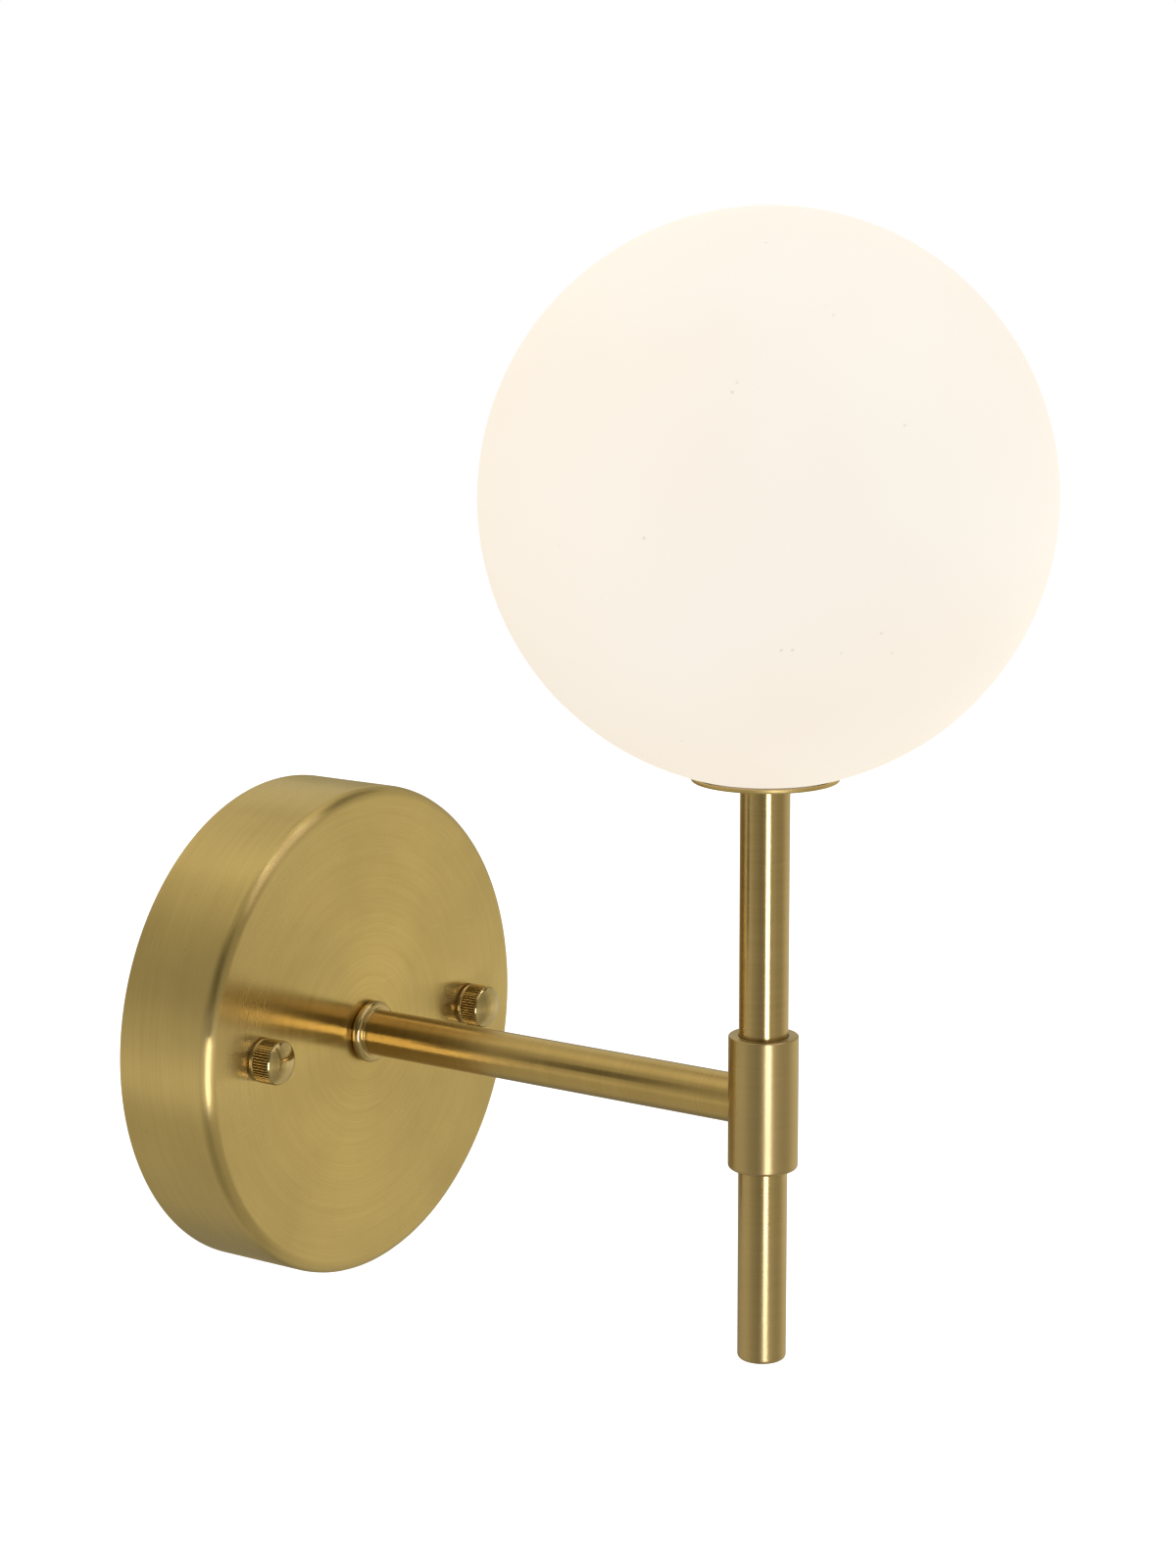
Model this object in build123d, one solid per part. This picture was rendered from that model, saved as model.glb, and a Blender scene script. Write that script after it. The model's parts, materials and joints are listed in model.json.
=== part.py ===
from build123d import *

import os
from math import cos, pi, radians, sin, sqrt

# Wall lamp: a round canopy carries a straight arm, a tee collar and an upright tube with a glass globe.
# The origin lies on the wall at the arm's axis. X runs along the wall, Y into the wall, Z up.

# Canopy
canopy_diameter = 140.0
canopy_depth = 31.5
canopy_wall = 1.2
canopy_edge_radius = 3.5

# Wall strap and studs
fixing_spacing = 95.0
fixing_turn = 3.1
strap_length = 110.0
strap_width = 22.0
strap_thickness = 2.0
strap_corner = 5.0
stud_diameter = 3.9
wall_hole_spacing = 66.0
wall_hole_diameter = 5.2
cable_hole_diameter = 12.0

# Cap nuts
nut_diameter = 12.3
nut_barrel = 6.2
nut_foot = 0.9
nut_dome = 2.2
nut_crown = 2.3
nut_thread_stop = 0.4
knurl_count = 48
knurl_depth = 0.35
dome_margin = 0.03
dome_edge_radius = 1.6
nut_washer_diameter = 10.8
nut_washer_thickness = 0.5

# Tubes, collar and base ring
tube_diameter = 13.0
tube_wall = 1.55
arm_reach = 162.5
stem_top = 84.7
tail_drop = 70.25
tail_edge_radius = 1.2
tail_edge_wall_share = 0.9
tail_plug_length = 6.0
collar_diameter = 18.5
collar_length = 36.0
collar_rise = 18.5
collar_top_radius = 0.4
collar_bottom_radius = 1.0
socket_depth = 11.5
wire_channel_diameter = 8.4
base_ring_diameter = 17.6
base_ring_depth = 3.0
base_ring_lip = 0.5
base_ring_bead_share = 0.48

# Nipples, washers and locknuts
nipple_wall = 1.35
nipple_grip = 14.0
nipple_end = 1.8
tooth_washer_diameter = 15.0
tooth_washer_thickness = 0.8
tooth_count = 12
tooth_depth = 1.2
locknut_across_flats = 14.0
locknut_height = 4.0

# Dish, glass carrier and globe
dish_diameter = 38.6
dish_hub_diameter = 16.0
dish_thickness = 0.6
dish_rise = 2.0
dish_rim = 0.4
dish_rim_round_share = 0.4
carrier_hub_diameter = 15.6
carrier_hub_height = 1.7
carrier_floor = 1.2
carrier_wall = 1.4
thread_diameter = 28.7
thread_height = 8.8
gasket_width = 2.0
gasket_thickness = 0.65
globe_diameter = 147.0
glass_wall = 3.0
neck_wall = 2.75
neck_height = 9.4
foot_land = 0.85
foot_edge_radius = 1.2

# Lampholder and bulb
bracket_width = 22.0
bracket_depth = 11.0
bracket_height = 13.8
bracket_sheet = 1.0
bracket_corner = 1.5
bracket_mouth = 12.0
holder_width = 21.0
holder_depth = 12.0
holder_height = 20.0
holder_corner = 2.0
holder_screw_spacing = 15.6
holder_screw_diameter = 2.9
holder_screw_depth = 6.0
holder_screw_head = 4.1
holder_screw_head_height = 1.2
pin_spacing = 9.0
pin_width = 2.2
pin_thickness = 0.9
pin_length = 11.8
contact_length = 12.0
contact_breadth = 1.8
contact_sheet = 0.4
bulb_base_width = 15.0
bulb_base_depth = 10.0
bulb_base_height = 14.0
bulb_base_corner = 3.0
envelope_diameter = 16.0
envelope_height = 35.0
envelope_crown = 7.5

# Connections inside the canopy
block_width = 16.0
block_length = 18.0
block_height = 11.0
block_offset = 17.0
block_corner = 1.0
pole_spacing = 8.0
pole_bore_diameter = 3.2
pole_rise = 5.5
pole_screw_diameter = 3.8
pole_screw_spacing = 9.0
screw_recess = 1.0
block_screw_diameter = 2.9
block_screw_head = 5.0
block_screw_head_height = 2.0
earth_offset = 17.0
earth_screw_diameter = 3.9
earth_screw_head = 7.0
earth_screw_head_height = 2.6
lug_diameter = 8.4
lug_sheet = 0.8
lug_tail = 8.6
lug_tail_width = 4.0
tag_diameter = 16.0
tag_tail = 15.0
tag_tail_width = 5.0
wire_diameter = 1.6
wire_spacing = 2.6
wire_bend = 3.0
wire_splay = 7.0
lead_drop = 2.2
lead_gather = 6.5
lead_clearance = 5.0
lead_sag = 12.5
lead_stagger = 2.5
lead_dip = 6.0

# Clearances
running_gap = 0.3
screw_gap = 0.3
touch = 0.01

# Sizes that follow from the ones above
canopy_inside = canopy_depth - canopy_wall
tube_radius = tube_diameter / 2
tube_bore = tube_radius - tube_wall
nipple_radius = tube_bore
nipple_bore = nipple_radius - nipple_wall
stud_radius = stud_diameter / 2
nut_seat = canopy_depth + nut_washer_thickness
nut_thread_depth = nut_barrel + nut_dome - nut_crown
stud_end = nut_seat + nut_thread_depth - nut_thread_stop
washer_face = canopy_inside - tooth_washer_thickness
tag_face = washer_face - lug_sheet
locknut_face = tag_face - locknut_height
collar_radius = collar_diameter / 2
collar_low = collar_rise - collar_length
stem_low = collar_rise - socket_depth
tail_high = collar_low + socket_depth

dish_radius = dish_diameter / 2
dish_hub = dish_hub_diameter / 2
dish_floor = stem_top + dish_thickness
dish_rim_top = stem_top + dish_rise + dish_rim
carrier_low = dish_floor + carrier_hub_height
carrier_top = carrier_low + carrier_floor
thread_radius = thread_diameter / 2
thread_top = carrier_top + thread_height
neck_bore = thread_radius + running_gap
neck_radius = neck_bore + neck_wall
gasket_inside = neck_bore + running_gap / 2
gasket_outside = gasket_inside + gasket_width
dish_slope = (dish_rim_top - dish_floor) / (dish_radius - dish_hub)
gasket_low = dish_floor + dish_slope * (gasket_outside - dish_hub) + running_gap
globe_foot = gasket_low + gasket_thickness
globe_radius = globe_diameter / 2
foot_radius = neck_radius + foot_land
globe_centre = globe_foot + sqrt(globe_radius**2 - foot_radius**2)

bracket_floor = carrier_top + bracket_sheet
holder_low = carrier_top + bracket_height
holder_top = holder_low + holder_height
pocket_floor = holder_top - contact_length - contact_sheet
bulb_top = holder_top + bulb_base_height

print("globe centre", round(globe_centre, 2), "bulb top", round(bulb_top + envelope_height, 2))


# A tube or disc about the arm's axis, between two distances from the wall.
def armTube(outer, inner, near, far):
    section = Circle(outer) - Circle(inner) if inner else Circle(outer)
    return extrude(Plane.XZ.offset(near) * section, far - near)


# A tube or disc about the stem's axis, between two heights.
def stemTube(outer, inner, low, high):
    section = Circle(outer) - Circle(inner) if inner else Circle(outer)
    return Pos(0, -arm_reach, low) * extrude(section, high - low)


# A closed outline of radius and height, turned about the stem's axis.
def stemTurned(*outline):
    face = make_face(Polyline(*outline, close=True))
    return Pos(0, -arm_reach, 0) * revolve(Plane.XZ * face, Axis.Z)


# A flat outline on the strap's own plane, between two distances from the wall, turned with the strap.
def strapPiece(outline, near, far):
    return Rot(Y=fixing_turn) * extrude(Plane.XZ.offset(near) * outline, far - near)


# A point given along the strap, from the wall and across the strap.
def strapPoint(along, out, across):
    turn = radians(fixing_turn)
    return (along * cos(turn) + across * sin(turn), -out, across * cos(turn) - along * sin(turn))


def pairOf(outline, spacing):
    return Pos(-spacing / 2, 0) * outline + Pos(spacing / 2, 0) * outline


def hexagon(bore):
    return RegularPolygon(locknut_across_flats / 2, 6, major_radius=False) - Circle(bore)


# Canopy: a spun cup, open to the wall, with its front edge rounded.
def makeCanopy():
    cup = extrude(Plane.XZ * Circle(canopy_diameter / 2), canopy_depth)
    cup = fillet(cup.faces().sort_by(Axis.Y)[0].edges(), canopy_edge_radius)
    shell = offset(cup, -canopy_wall, openings=cup.faces().sort_by(Axis.Y)[-1])
    holes = pairOf(Circle(stud_radius + screw_gap), fixing_spacing)
    shell -= strapPiece(holes, canopy_inside - canopy_wall, canopy_depth + canopy_wall)
    shell -= armTube(nipple_radius, 0, canopy_inside - canopy_wall, canopy_depth + canopy_wall)
    return shell


# Strap: a flat bar with tapped stud holes, two wall holes and a cable hole.
def makeStrap():
    bar = RectangleRounded(strap_length, strap_width, strap_corner)
    bar -= pairOf(Circle(stud_radius), fixing_spacing)
    bar -= pairOf(Circle(wall_hole_diameter / 2), wall_hole_spacing)
    bar -= Circle(cable_hole_diameter / 2)
    bar -= Pos(-earth_offset, 0) * Circle(earth_screw_diameter / 2)
    bar -= Pos(block_offset, 0) * Circle(block_screw_diameter / 2)
    return strapPiece(bar, 0, strap_thickness)


def makeStuds():
    return strapPiece(pairOf(Circle(stud_radius), fixing_spacing), 0, stud_end)


def makeNutWasher(along):
    ring = Circle(nut_washer_diameter / 2) - Circle(stud_radius + running_gap)
    return strapPiece(Pos(along, 0) * ring, canopy_depth, nut_seat)


# Cap nut: plain foot and a straight knurl whose ridges run out into a low polished dome, over a blind thread.
def makeCapNut(along):
    crest = nut_diameter / 2
    root = crest - knurl_depth
    corners = []
    for k in range(2 * knurl_count):
        radius = root if k % 2 else crest
        corners.append((radius * cos(pi * k / knurl_count), radius * sin(pi * k / knurl_count)))
    knurl = make_face(Polyline(*corners, close=True))
    tip = nut_barrel + nut_dome
    ridges = extrude(Plane.XZ.offset(nut_seat + nut_foot) * knurl, tip - nut_foot)
    girth = crest + dome_margin
    dome = RadiusArc((girth, nut_barrel), (0, tip), -(girth**2 + nut_dome**2) / (2 * nut_dome))
    sides = [Line((0, tip), (0, 0)), Line((0, 0), (girth, 0)), Line((girth, 0), (girth, nut_barrel))]
    outline = make_face(sides + [dome])
    shoulder = outline.vertices().sort_by_distance((girth, nut_barrel))[0]
    blank = Pos(0, -nut_seat, 0) * Rot(X=180) * revolve(fillet(shoulder, dome_edge_radius), Axis.Y)
    nut = armTube(crest, 0, nut_seat, nut_seat + nut_foot) + (ridges & blank)
    nut -= armTube(stud_radius + running_gap, 0, nut_seat, nut_seat + nut_thread_depth)
    return Rot(Y=fixing_turn) * Pos(along, 0, 0) * nut


# Base ring: a half-round bead with a thin lip against the arm.
def makeBaseRing():
    width = base_ring_diameter / 2 - tube_radius
    centre = (tube_radius + width / 2, -canopy_depth - base_ring_depth / 2)
    bead = Pos(*centre) * Rectangle(width, base_ring_depth)
    bead = fillet(bead.vertices().group_by(Axis.X)[-1], base_ring_bead_share * base_ring_depth)
    lip_centre = -canopy_depth - base_ring_depth
    bead += Pos(tube_radius + base_ring_lip / 2, lip_centre) * Rectangle(base_ring_lip, 2 * base_ring_lip)
    return revolve(bead, Axis.Y)


# Arm: a straight tube, its outer end cut to saddle on the collar.
def makeArm():
    arm = armTube(tube_radius, tube_bore, canopy_depth, arm_reach)
    return arm - stemTube(collar_radius, 0, -collar_length, collar_length)


def makeArmNipple():
    return armTube(nipple_radius, nipple_bore, locknut_face - nipple_end, canopy_depth + nipple_grip)


# Toothed lock washer between the canopy's inside and the earth tag.
def makeToothWasher():
    ring = Circle(tooth_washer_diameter / 2) - Circle(nipple_radius)
    notch = Rectangle(2 * tooth_depth, tooth_depth)
    ring -= PolarLocations(tooth_washer_diameter / 2, tooth_count) * notch
    return extrude(Plane.XZ.offset(washer_face) * ring, tooth_washer_thickness)


def makeEarthTag():
    plate = Circle(tag_diameter / 2) + Pos(-tag_tail / 2, 0) * Rectangle(tag_tail, tag_tail_width)
    plate -= Circle(nipple_radius)
    return extrude(Plane.XZ.offset(tag_face) * plate, lug_sheet)


def makeArmLocknut():
    return extrude(Plane.XZ.offset(locknut_face) * hexagon(nipple_radius), locknut_height)


# Collar: a turned sleeve with a socket at each end and a port for the arm.
def makeCollar():
    sleeve = stemTube(collar_radius, 0, collar_low, collar_rise)
    sleeve = fillet(sleeve.edges().group_by(Axis.Z)[-1], collar_top_radius)
    sleeve = fillet(sleeve.edges().group_by(Axis.Z)[0], collar_bottom_radius)
    sleeve -= stemTube(tube_radius, 0, stem_low, collar_rise)
    sleeve -= stemTube(tube_radius, 0, collar_low, tail_high)
    sleeve -= stemTube(wire_channel_diameter / 2, 0, tail_high, stem_low)
    return sleeve - armTube(wire_channel_diameter / 2, 0, arm_reach - collar_radius, arm_reach)


def makeTail():
    tail = stemTube(tube_radius, 0, -tail_drop, tail_high)
    tail = fillet(tail.edges().group_by(Axis.Z)[0], min(tail_edge_radius, tail_edge_wall_share * tube_wall))
    return tail - stemTube(tube_bore, 0, -tail_drop, tail_high)


# Dish: a thin saucer that cups the underside of the globe.
def makeDish():
    rim_low = stem_top + dish_rise
    dish = stemTurned(
        (nipple_radius, stem_top),
        (dish_hub, stem_top),
        (dish_radius, rim_low),
        (dish_radius, dish_rim_top),
        (dish_hub, dish_floor),
        (nipple_radius, dish_floor),
    )
    rim = dish.edges().filter_by(GeomType.CIRCLE).filter_by(lambda edge: edge.radius > dish_radius - touch)
    return fillet(rim, dish_rim_round_share * dish_rim)


# Carrier: a stepped cup whose outer wall takes the globe's screwed neck.
def makeCarrier():
    carrier_hub = carrier_hub_diameter / 2
    return stemTurned(
        (nipple_radius, dish_floor),
        (carrier_hub, dish_floor),
        (carrier_hub, carrier_low),
        (thread_radius, carrier_low),
        (thread_radius, thread_top),
        (thread_radius - carrier_wall, thread_top),
        (thread_radius - carrier_wall, carrier_top),
        (nipple_radius, carrier_top),
    )


def makeTopNipple():
    top = bracket_floor + locknut_height + nipple_end
    return stemTube(nipple_radius, nipple_bore, stem_top - nipple_grip, top)


def makeTopLocknut():
    return Pos(0, -arm_reach, bracket_floor) * extrude(hexagon(nipple_radius), locknut_height)


# Bracket: sheet folded into a box, open at the top between two tabs that carry the lampholder.
def makeBracket():
    fold = RectangleRounded(bracket_width, bracket_height, bracket_corner)
    fold -= Rectangle(bracket_width - 2 * bracket_sheet, bracket_height - 2 * bracket_sheet)
    fold -= Pos(0, bracket_height / 2) * Rectangle(bracket_mouth, 2 * bracket_sheet)
    middle = Plane.XZ.offset(arm_reach - bracket_depth / 2)
    bracket = extrude(middle * Pos(0, carrier_top + bracket_height / 2) * fold, bracket_depth)
    bracket -= stemTube(nipple_radius, 0, carrier_top, bracket_floor)
    shanks = pairOf(Circle(holder_screw_diameter / 2), holder_screw_spacing)
    return bracket - Pos(0, -arm_reach, holder_low - bracket_sheet) * extrude(shanks, bracket_sheet)


# Lampholder: a ceramic block with two pin pockets above and two screw holes below.
def makeHolder():
    block = extrude(RectangleRounded(holder_width, holder_depth, holder_corner), holder_height)
    pocket = Rectangle(pin_width + 2 * contact_sheet, pin_width + 2 * running_gap + 4 * contact_sheet)
    pockets = pairOf(pocket, pin_spacing)
    block -= Pos(0, 0, pocket_floor - holder_low) * extrude(pockets, holder_top - pocket_floor)
    block -= extrude(pairOf(Circle(holder_screw_diameter / 2), holder_screw_spacing), holder_screw_depth)
    return Pos(0, -arm_reach, holder_low) * block


# Contacts: one folded spring in each pocket, with a leaf on both sides of the pin.
def makeContacts():
    gap = pin_width + 2 * running_gap
    fold = Rectangle(gap + 2 * contact_sheet, contact_length)
    fold -= Pos(0, contact_sheet) * Rectangle(gap, contact_length)
    spring = extrude(Plane.YZ * fold, contact_breadth / 2, both=True)
    height = pocket_floor + contact_length / 2
    springs = []
    for side in (-1, 1):
        springs.append(Pos(side * pin_spacing / 2, -arm_reach, height) * spring)
    return Compound(children=springs)


def makeHolderScrews():
    shank = Circle(holder_screw_diameter / 2)
    screws = []
    for side in (-1, 1):
        screw = extrude(shank, bracket_sheet + holder_screw_depth)
        screw += extrude(Circle(holder_screw_head / 2), -holder_screw_head_height)
        place = Pos(side * holder_screw_spacing / 2, -arm_reach, holder_low - bracket_sheet)
        screws.append(place * screw)
    return Compound(children=screws)


def makeGasket():
    return stemTube(gasket_outside, gasket_inside, gasket_low, globe_foot)


# Globe: a blown ball with a ground foot and a short neck turned inwards.
def makeGlobe():
    ball = Pos(0, 0, globe_centre) * Sphere(globe_radius)
    hollow = Pos(0, 0, globe_centre) * Sphere(globe_radius - glass_wall)
    neck_top = globe_foot + neck_height
    neck = Pos(0, 0, globe_foot) * extrude(Circle(neck_radius), neck_height)
    globe = (ball - hollow) + neck
    globe -= extrude(Circle(globe_radius), globe_foot)
    globe -= extrude(Circle(neck_bore), neck_top + glass_wall)
    foot = globe.edges().filter_by(GeomType.CIRCLE).filter_by(
        lambda edge: abs(edge.radius - foot_radius) < touch and abs(edge.center().Z - globe_foot) < touch
    )
    globe = fillet(foot, foot_edge_radius)
    return Pos(0, -arm_reach, 0) * globe


def makePins():
    pin = Rot(Z=90) * SlotOverall(pin_width, pin_thickness)
    pins = extrude(pairOf(pin, pin_spacing), -pin_length)
    return Pos(0, -arm_reach, holder_top) * pins


def makeBulbBase():
    base = extrude(RectangleRounded(bulb_base_width, bulb_base_depth, bulb_base_corner), bulb_base_height)
    return Pos(0, -arm_reach, holder_top) * base


def makeEnvelope():
    envelope = stemTube(envelope_diameter / 2, 0, bulb_top, bulb_top + envelope_height)
    return fillet(envelope.edges().group_by(Axis.Z)[-1], envelope_crown)


# Terminal block: two poles side by side, each with a wire bore and two clamping screws.
def polePositions():
    places = []
    for pole in (-1, 1):
        for end in (-1, 1):
            places.append(Pos(block_offset + pole * pole_spacing / 2, end * pole_screw_spacing / 2))
    return places


def makeBlock():
    block_face = strap_thickness + block_height
    outline = Pos(block_offset, 0) * RectangleRounded(block_width, block_length, block_corner)
    block = strapPiece(outline, strap_thickness, block_face)
    bores = pairOf(Circle(pole_bore_diameter / 2), pole_spacing)
    bore_plane = Plane.XY.offset(-block_length / 2) * Pos(block_offset, -strap_thickness - pole_rise)
    block -= Rot(Y=fixing_turn) * extrude(bore_plane * bores, block_length)
    for place in polePositions():
        well = place * Circle(pole_screw_diameter / 2)
        block -= strapPiece(well, strap_thickness + pole_rise, block_face)
    shank = Pos(block_offset, 0) * Circle(block_screw_diameter / 2)
    block -= strapPiece(shank, strap_thickness, block_face)
    head = Pos(block_offset, 0) * Circle(block_screw_head / 2)
    return block - strapPiece(head, block_face - block_screw_head_height, block_face)


def makePoleScrews():
    foot = strap_thickness + pole_rise + wire_diameter / 2
    top = strap_thickness + block_height - screw_recess
    screws = []
    for place in polePositions():
        screws.append(strapPiece(place * Circle(pole_screw_diameter / 2), foot, top))
    return Compound(children=screws)


def makeBlockScrew():
    block_face = strap_thickness + block_height
    shank = strapPiece(Pos(block_offset, 0) * Circle(block_screw_diameter / 2), 0, block_face - screw_recess)
    head = Pos(block_offset, 0) * Circle(block_screw_head / 2)
    return shank + strapPiece(head, block_face - block_screw_head_height, block_face)


def makeEarthScrew():
    head_face = strap_thickness + lug_sheet
    place = Pos(-earth_offset, 0)
    screw = strapPiece(place * Circle(earth_screw_diameter / 2), 0, head_face)
    head = place * Circle(earth_screw_head / 2)
    return screw + strapPiece(head, head_face, head_face + earth_screw_head_height)


def makeEarthLug():
    plate = Circle(lug_diameter / 2) + Pos(-lug_tail / 2, 0) * Rectangle(lug_tail, lug_tail_width)
    plate -= Circle(earth_screw_diameter / 2)
    return strapPiece(Pos(-earth_offset, 0) * plate, strap_thickness, strap_thickness + lug_sheet)


# An insulated wire of straight runs joined by tangent arcs.
def makeWire(points):
    route = FilletPolyline(*points, radius=[wire_bend] * (len(points) - 2))
    section = Plane(route @ 0, z_dir=route % 0) * Circle(wire_diameter / 2)
    wire = sweep(section, path=route)
    expected = pi * wire_diameter**2 / 4 * route.length
    print("wire length", round(route.length, 1), "volume share", round(wire.volume / expected, 4))
    return wire


def makeLead(side):
    offset_x = side * wire_spacing / 2
    pole = block_offset + side * pole_spacing / 2
    pole_out = strap_thickness + pole_rise
    loop = locknut_face - nipple_end - lead_clearance
    sag = lead_sag - side * lead_stagger
    points = [
        (side * wire_splay / 2, -arm_reach, holder_low),
        (side * wire_splay / 2, -arm_reach, holder_low - lead_drop),
        (offset_x, -arm_reach, holder_low - lead_gather),
        (offset_x, -arm_reach, 0),
        (offset_x, -loop, 0),
        (offset_x, -loop, -sag),
        strapPoint(pole, pole_out, -sag - lead_dip),
        strapPoint(pole, pole_out, -pole_screw_spacing / 2),
    ]
    return makeWire(points)


def makeEarthWire():
    tag_end = -tag_tail + tag_tail_width / 2
    lug_end = strapPoint(-earth_offset - lug_tail + lug_tail_width / 2, strap_thickness + lug_sheet, 0)
    loop = (tag_face + strap_thickness) / 2
    points = [
        (tag_end, -tag_face, 0),
        (tag_end, -loop, 0),
        (lug_end[0], -loop, lug_end[2]),
        lug_end,
    ]
    return makeWire(points)


half_fixing = fixing_spacing / 2
nodes = {
    "canopy": makeCanopy(),
    "wall_strap": makeStrap(),
    "strap_studs": makeStuds(),
    "nut_washer_left": makeNutWasher(-half_fixing),
    "nut_washer_right": makeNutWasher(half_fixing),
    "cap_nut_left": makeCapNut(-half_fixing),
    "cap_nut_right": makeCapNut(half_fixing),
    "arm_base_ring": makeBaseRing(),
    "arm_tube": makeArm(),
    "arm_nipple": makeArmNipple(),
    "arm_tooth_washer": makeToothWasher(),
    "arm_locknut": makeArmLocknut(),
    "earth_tag": makeEarthTag(),
    "earth_lug": makeEarthLug(),
    "earth_screw": makeEarthScrew(),
    "earth_wire": makeEarthWire(),
    "terminal_block": makeBlock(),
    "terminal_screws": makePoleScrews(),
    "terminal_block_screw": makeBlockScrew(),
    "live_lead": makeLead(-1),
    "neutral_lead": makeLead(1),
    "tee_collar": makeCollar(),
    "stem_tube": stemTube(tube_radius, tube_bore, stem_low, stem_top),
    "tail_tube": makeTail(),
    "tail_plug": stemTube(tube_bore, 0, -tail_drop, -tail_drop + tail_plug_length),
    "glass_dish": makeDish(),
    "glass_carrier": makeCarrier(),
    "stem_nipple": makeTopNipple(),
    "stem_locknut": makeTopLocknut(),
    "holder_bracket": makeBracket(),
    "holder_screws": makeHolderScrews(),
    "lampholder": makeHolder(),
    "lampholder_contacts": makeContacts(),
    "glass_gasket": makeGasket(),
    "glass_globe": makeGlobe(),
    "bulb_pins": makePins(),
    "bulb_base": makeBulbBase(),
    "bulb_envelope": makeEnvelope(),
}

os.makedirs("parts", exist_ok=True)
for name, shape in nodes.items():
    export_step(shape, f"parts/{name}.step")
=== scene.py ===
import json
from math import asin, atan2, cos, pi, radians, sin, sqrt, tan

import bmesh
import bpy
from mathutils import Matrix, Vector


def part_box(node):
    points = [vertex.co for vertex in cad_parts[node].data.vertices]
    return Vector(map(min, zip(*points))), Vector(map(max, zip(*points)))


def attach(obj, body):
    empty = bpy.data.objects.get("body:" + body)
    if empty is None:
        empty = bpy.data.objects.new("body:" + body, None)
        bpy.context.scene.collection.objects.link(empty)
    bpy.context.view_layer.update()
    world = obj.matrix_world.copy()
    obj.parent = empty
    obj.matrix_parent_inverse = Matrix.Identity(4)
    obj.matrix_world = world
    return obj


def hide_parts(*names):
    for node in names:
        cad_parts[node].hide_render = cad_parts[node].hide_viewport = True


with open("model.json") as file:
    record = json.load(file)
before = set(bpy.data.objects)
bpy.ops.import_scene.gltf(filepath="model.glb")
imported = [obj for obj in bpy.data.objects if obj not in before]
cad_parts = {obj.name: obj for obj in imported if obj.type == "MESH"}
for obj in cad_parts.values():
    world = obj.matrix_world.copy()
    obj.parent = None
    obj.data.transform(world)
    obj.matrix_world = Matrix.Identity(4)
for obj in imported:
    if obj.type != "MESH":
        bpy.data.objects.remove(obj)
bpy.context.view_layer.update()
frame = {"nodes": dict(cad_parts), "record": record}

mm = 0.001
scene = bpy.context.scene
scene.view_settings.view_transform = "Standard"

# the slot and the body of each solid, as the record has them
record = frame["record"]
slotOf = {row["node"]: row["material_slot"] for row in record["subparts"]}
bodyOf = {node: body for body, nodes in record["behaviour"]["bodies"].items() for node in nodes}
nutNodes = ("cap_nut_left", "cap_nut_right")


def middle(node):
    low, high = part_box(node)
    return (low + high) / 2


# where a solid starts and ends in mm, upwards
def heights(node):
    low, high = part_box(node)
    return low.z / mm, high.z / mm


# where a solid starts and ends in mm, out from the wall
def reaches(node):
    low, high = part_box(node)
    return -high.y / mm, -low.y / mm


# the two straight lines that most pieces are turned on, and one for each cap nut
armLine = dict(centre=Vector((0, 0, 0)), up=Vector((0, -1, 0)))
stemLine = dict(centre=Vector((0, middle("stem_tube").y, 0)), up=Vector((0, 0, 1)))


def nutLine(node):
    spot = middle(node)
    return dict(centre=Vector((spot.x, 0, spot.z)), up=Vector((0, -1, 0)))


def isUpright(line):
    return abs(line["up"].z) > 0.5


# camera: same place, angle and lens as the picture of the lamp
cameraView = dict(
    azimuth=-55.703, elevation=10.953, roll=0.211, lens=75.604, sensor=36.0,
    place=(-714.088, -594.26, 246.784),
)


# the way from the lamp to someone who looks at it
def lookBack(azimuth, elevation):
    a, e = radians(azimuth), radians(elevation)
    return Vector((sin(a) * cos(e), -cos(a) * cos(e), sin(e)))


def makeCamera():
    back = lookBack(cameraView["azimuth"], cameraView["elevation"])
    right = (-back).cross(Vector((0, 0, 1))).normalized()
    down = (-back).cross(right)
    roll = radians(cameraView["roll"])
    across = right * cos(roll) + down * sin(roll)
    upward = right * sin(roll) - down * cos(roll)
    data = bpy.data.cameras.new("camera")
    data.lens = cameraView["lens"]
    data.sensor_width = cameraView["sensor"]
    camera = bpy.data.objects.new("camera", data)
    scene.collection.objects.link(camera)
    turn = Matrix((across, upward, back)).transposed().to_4x4()
    camera.matrix_world = Matrix.Translation(Vector(cameraView["place"]) * mm) @ turn
    scene.camera = camera


makeCamera()
print("camera set")


# shader helpers
def addNode(tree, kind, inputs=(), **settings):
    made = tree.nodes.new(kind)
    for key, value in settings.items():
        setattr(made, key, value)
    for key, value in dict(inputs).items():
        if isinstance(value, bpy.types.NodeSocket):
            tree.links.new(value, made.inputs[key])
        else:
            made.inputs[key].default_value = value
    return made


def useGroup(tree, group, **inputs):
    return addNode(tree, "ShaderNodeGroup", inputs, node_tree=group).outputs


def feed(tree, node, **outputs):
    for key, value in outputs.items():
        tree.links.new(value, node.inputs[key.replace("_", " ")])


def maths(tree, operation, *values):
    return addNode(tree, "ShaderNodeMath", dict(enumerate(values)), operation=operation).outputs[0]


def scaled(tree, vector, factor):
    inputs = {0: vector, "Scale": factor}
    return addNode(tree, "ShaderNodeVectorMath", inputs, operation="SCALE").outputs[0]


def spread(tree, value, low, high, toLow=0.0, toHigh=1.0):
    inputs = {"Value": value, "From Min": low, "From Max": high, "To Min": toLow, "To Max": toHigh}
    return addNode(tree, "ShaderNodeMapRange", inputs).outputs["Result"]


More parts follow.
